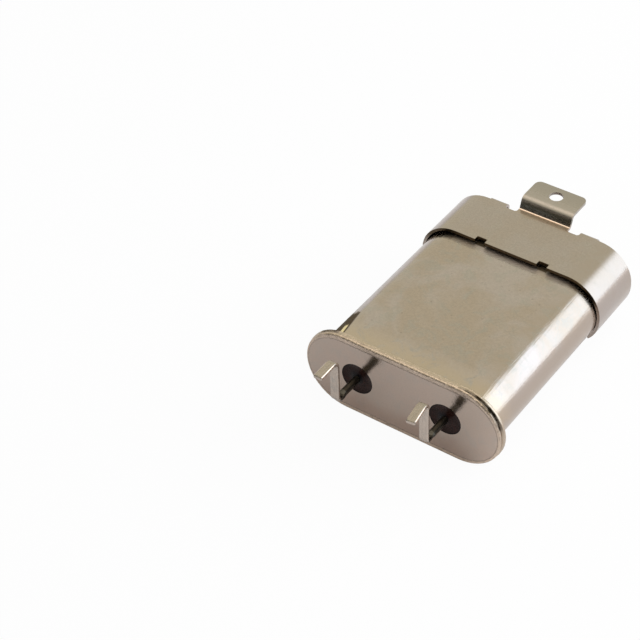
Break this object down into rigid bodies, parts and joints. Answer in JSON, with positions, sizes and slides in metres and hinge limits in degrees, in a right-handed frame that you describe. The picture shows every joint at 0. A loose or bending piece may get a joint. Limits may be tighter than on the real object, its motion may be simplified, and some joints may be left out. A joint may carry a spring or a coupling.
{
  "type": "quartz crystal unit",
  "caption": "Flat metal-can quartz crystal unit with round ends, glass-sealed joggled wire leads and a folded sheet mounting clip with a holed tab.",
  "frame": {"origin": "centre of the base plate's outer face, midway between the two leads", "axes": "+Y along the can from the base plate to the closed end and the clip's tab, +X across the can's width, +Z out of the broad face that carries the clip's plate; the leads point to -Y"},
  "size_m": [0.0108, 0.018, 0.0048],
  "materials": {
    "can_nickel": "satin nickel plating on drawn steel",
    "base_nickel": "bright nickel plating on a stamped plate",
    "clip_nickel": "satin nickel plating on folded spring sheet",
    "lead_nickel": "tin plating on drawn wire, dark oxide next to the beads",
    "bead_glass": "dark brown sealing glass, smooth",
    "quartz": "lapped and polished quartz",
    "electrode_silver": "evaporated silver film",
    "spring_strip": "rolled nickel strip",
    "silver_cement": "cured silver-filled cement"
  },
  "bodies": {
    "root": {"can": "can_nickel", "base_plate": "base_nickel", "mounting_clip": "clip_nickel", "lead_left": "lead_nickel", "lead_right": "lead_nickel", "glass_bead_left": "bead_glass", "glass_bead_right": "bead_glass", "quartz_blank": "quartz", "electrode_top": "electrode_silver", "electrode_bottom": "electrode_silver", "support_spring_left": "spring_strip", "support_spring_right": "spring_strip", "cement_left": "silver_cement", "cement_right": "silver_cement"}
  },
  "joints": []
}
